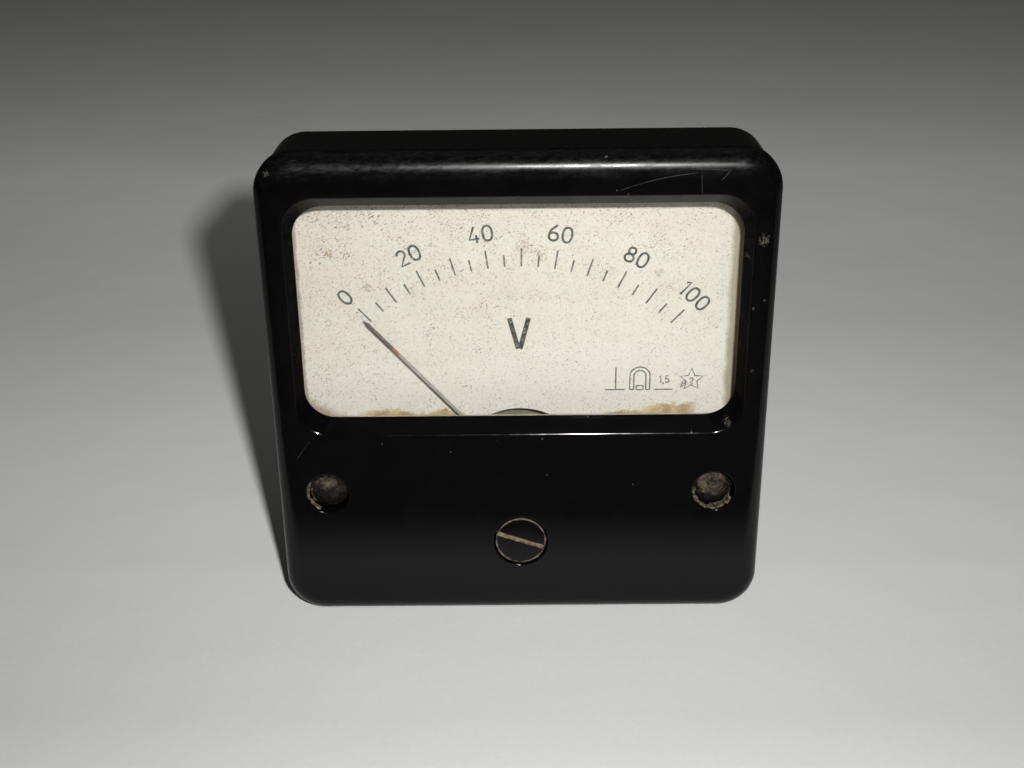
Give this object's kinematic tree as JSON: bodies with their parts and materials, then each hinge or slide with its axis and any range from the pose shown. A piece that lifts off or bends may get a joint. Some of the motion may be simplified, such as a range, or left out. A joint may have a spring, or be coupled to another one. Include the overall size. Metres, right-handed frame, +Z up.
{
  "type": "panel voltmeter",
  "caption": "Square black panel voltmeter with a glazed arc scale, balanced pointer, slotted zero adjuster, round rear barrel, panel studs and screw terminals.",
  "frame": {"origin": "on the barrel's axis, in the plane of the panel that the cover's rear rim lies against", "axes": "+X to the right seen from the front, +Y backwards through the panel, +Z up the scale"},
  "size_m": [0.08, 0.059, 0.08],
  "materials": {
    "moulded_black": "polished black moulding",
    "clear_glass": "clear sheet glass",
    "card": "pressed card",
    "tinned_sheet": "tinned sheet",
    "steel": "bright steel",
    "aged_brass": "aged brass",
    "brass": "turned and milled brass",
    "scale_enamel": "cream scale with fine age specks",
    "magnet_lacquer": "red lacquer over magnet steel",
    "soft_iron": "machined soft iron",
    "aluminium": "thin drawn aluminium",
    "copper_wire": "enamelled copper wire",
    "spring_bronze": "flat bronze ribbon",
    "hard_fibre": "turned hard fibre",
    "resistance_wire": "enamelled resistance wire",
    "wire_covering": "woven cotton covering",
    "nickel": "nickelled screws"
  },
  "bodies": {
    "case": {"front_cover": "moulded_black", "window_glass": "clear_glass", "glass_gasket": "card", "glass_retainer": "tinned_sheet", "retainer_screws": "brass", "cover_screws": "aged_brass", "base_case": "moulded_black", "panel_studs": "steel", "scale_plate": "scale_enamel", "scale_screws": "brass", "scale_posts": "brass", "movement_frame": "brass", "movement_screws": "steel", "magnet": "magnet_lacquer", "movement_shield": "tinned_sheet", "pole_pieces": "soft_iron", "pole_screws": "brass", "core": "soft_iron", "core_bracket": "brass", "core_screws": "brass", "front_bridge": "brass", "bridge_pillars": "brass", "bridge_screws": "brass", "front_jewel_screw": "brass", "stop_pins": "steel", "rear_bridge": "brass", "rear_jewel_screw": "brass", "jewel_nut": "brass", "rear_spring_arm": "brass", "resistor_bobbins": "hard_fibre", "resistor_windings": "resistance_wire", "resistor_screws": "nickel", "lead_wires": "wire_covering", "terminal_studs": "aged_brass", "terminal_nuts": "aged_brass", "terminal_washers": "tinned_sheet", "terminal_tags": "tinned_sheet"},
    "zero_adjuster": {"zero_adjuster": "moulded_black", "adjuster_clip": "steel"},
    "zero_lever": {"zero_lever": "brass"},
    "moving_element": {"coil_former": "aluminium", "coil_winding": "copper_wire", "pivot_staffs": "steel", "pointer": "aluminium", "balance_weights": "brass", "front_hairspring": "spring_bronze", "rear_hairspring": "spring_bronze"}
  },
  "joints": [
    {"name": "zero_adjuster_turn", "type": "hinge", "parent": "case", "child": "zero_adjuster", "pos_m": [0, 0, -0.026], "axis": [0, 1, 0], "range_deg": [-35, 35]},
    {"name": "zero_lever_turn", "type": "hinge", "parent": "case", "child": "zero_lever", "pos_m": [0, 0, -0.017], "axis": [0, 1, 0], "range_deg": [-4, 4]},
    {"name": "pointer_swing", "type": "hinge", "parent": "zero_lever", "child": "moving_element", "pos_m": [0, 0, -0.017], "axis": [0, 1, 0], "range_deg": [-2, 87.7], "stiffness_Nm_per_rad": 0.00006, "deforming": ["front_hairspring", "rear_hairspring"]}
  ],
  "couplings": [
    {"joint": "zero_adjuster_turn", "follows": "zero_lever_turn", "ratio": 8.6957}
  ]
}
